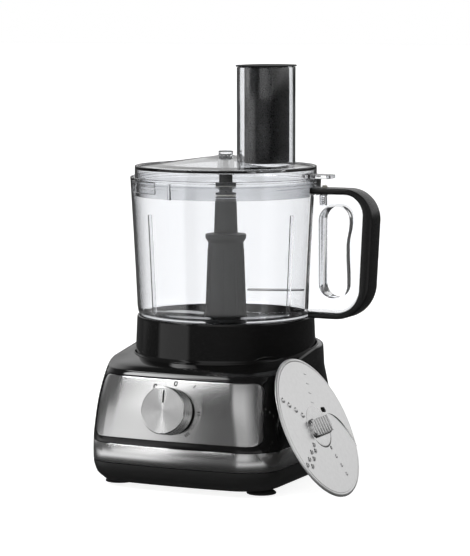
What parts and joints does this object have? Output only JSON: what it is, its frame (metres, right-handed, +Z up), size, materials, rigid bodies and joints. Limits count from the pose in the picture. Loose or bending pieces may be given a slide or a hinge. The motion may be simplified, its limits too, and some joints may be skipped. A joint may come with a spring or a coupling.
{
  "type": "food processor",
  "caption": "Bench food processor with motor base, rotary switch, clear bowl and handle, S-blade, clear lid with feed tube and pusher, and a loose grating disc.",
  "frame": {"origin": "middle of the footprint, on the surface that the feet stand on", "axes": "+Z up, -Y the front with the knob, +X the side with the bowl handle"},
  "size_m": [0.2348, 0.2258, 0.368],
  "materials": {
    "black_gloss": "glossy black moulded plastic",
    "black_plastic": "satin black moulded plastic",
    "brushed_steel": "brushed stainless steel sheet",
    "polished_steel": "bright stainless steel",
    "motor_steel": "bare and plated steel",
    "copper": "enamelled copper",
    "bronze": "sintered bronze",
    "clear_plastic": "clear glossy moulded plastic",
    "hub_plastic": "dark grey satin plastic",
    "nylon": "natural engineering plastic",
    "circuit_board": "green board with parts",
    "rubber": "matt black rubber"
  },
  "bodies": {
    "base": {"base_tray": "black_plastic", "steel_band": "brushed_steel", "housing": "black_gloss", "front_panel": "brushed_steel", "bowl_seat": "black_gloss", "foot_front_right": "rubber", "foot_front_left": "rubber", "foot_rear_right": "rubber", "foot_rear_left": "rubber", "tray_screw_front_right": "motor_steel", "tray_screw_front_left": "motor_steel", "tray_screw_rear_right": "motor_steel", "tray_screw_rear_left": "motor_steel", "cord_grommet": "rubber", "rotary_switch": "nylon", "control_board": "circuit_board", "bowl_switch": "black_plastic", "motor_stator": "motor_steel", "field_coil_right": "copper", "field_coil_left": "copper", "motor_bracket_lower": "motor_steel", "motor_bracket_upper": "motor_steel", "motor_bearing_lower": "bronze", "motor_bearing_upper": "bronze", "brush_holder_right": "nylon", "brush_holder_left": "nylon", "motor_screw_right": "motor_steel", "motor_screw_left": "motor_steel", "drive_belt": "rubber", "spindle_bush_lower": "bronze", "spindle_bush_upper": "bronze", "shaft_seal": "rubber"},
    "motor_rotor": {"rotor_shaft": "motor_steel", "rotor_core": "motor_steel", "commutator": "copper", "cooling_fan": "nylon", "motor_pulley": "motor_steel"},
    "drive_spindle": {"drive_shaft": "motor_steel", "drive_pulley": "nylon", "drive_coupler": "nylon"},
    "knob": {"knob_core": "black_plastic", "knob_face": "brushed_steel"},
    "bowl_set": {"bowl": "clear_plastic", "bowl_handle": "clear_plastic", "handle_grip": "black_plastic", "grip_screw": "motor_steel", "interlock_spring": "polished_steel"},
    "blade_set": {"blade_hub": "hub_plastic", "hub_pin": "hub_plastic", "blade_lower": "polished_steel", "blade_upper": "polished_steel"},
    "lid_unit": {"lid": "clear_plastic"},
    "pusher": {"pusher_body": "black_plastic", "pusher_cap": "black_plastic"},
    "interlock": {"interlock_plunger": "nylon"},
    "grating_disc": {"disc_plate": "polished_steel", "disc_hub": "polished_steel", "disc_blade": "polished_steel"}
  },
  "joints": [
    {"name": "knob_turn", "type": "hinge", "parent": "base", "child": "knob", "pos_m": [-0.0276, -0.08975, 0.0715], "axis": [0, -0.9781, 0.2079], "range_deg": [-135, 45]},
    {"name": "motor_spin", "type": "hinge", "parent": "base", "child": "motor_rotor", "pos_m": [-0.0276, 0.06545, 0.06], "axis": [0, 0, 1], "continuous": true},
    {"name": "drive_spin", "type": "hinge", "parent": "base", "child": "drive_spindle", "pos_m": [-0.0276, 0.01845, 0.06], "axis": [0, 0, 1], "continuous": true},
    {"name": "blade_spin", "type": "hinge", "parent": "bowl_set", "child": "blade_set", "pos_m": [-0.0276, 0.01845, 0.18], "axis": [0, 0, 1], "continuous": true},
    {"name": "bowl_lift", "type": "slide", "parent": "base", "child": "bowl_set", "axis": [0, 0, 1], "range_m": [0, 0.1]},
    {"name": "lid_lift", "type": "slide", "parent": "bowl_set", "child": "lid_unit", "axis": [0, 0, 1], "range_m": [0, 0.08]},
    {"name": "pusher_slide", "type": "slide", "parent": "lid_unit", "child": "pusher", "axis": [0, 0, 1], "range_m": [0, 0.09]},
    {"name": "interlock_press", "type": "slide", "parent": "bowl_set", "child": "interlock", "axis": [0, 0, 1], "range_m": [-0.003, 0], "stiffness_N_per_m": 200, "springref_m": 0.003, "deforming": ["interlock_spring"]},
    {"name": "disc_slide", "type": "slide", "parent": "base", "child": "grating_disc", "axis": [1, 0, 0], "range_m": [0, 0.12]}
  ],
  "couplings": [
    {"joint": "drive_spin", "follows": "motor_spin", "ratio": 0.19444},
    {"joint": "blade_spin", "follows": "motor_spin", "ratio": 0.19444}
  ]
}
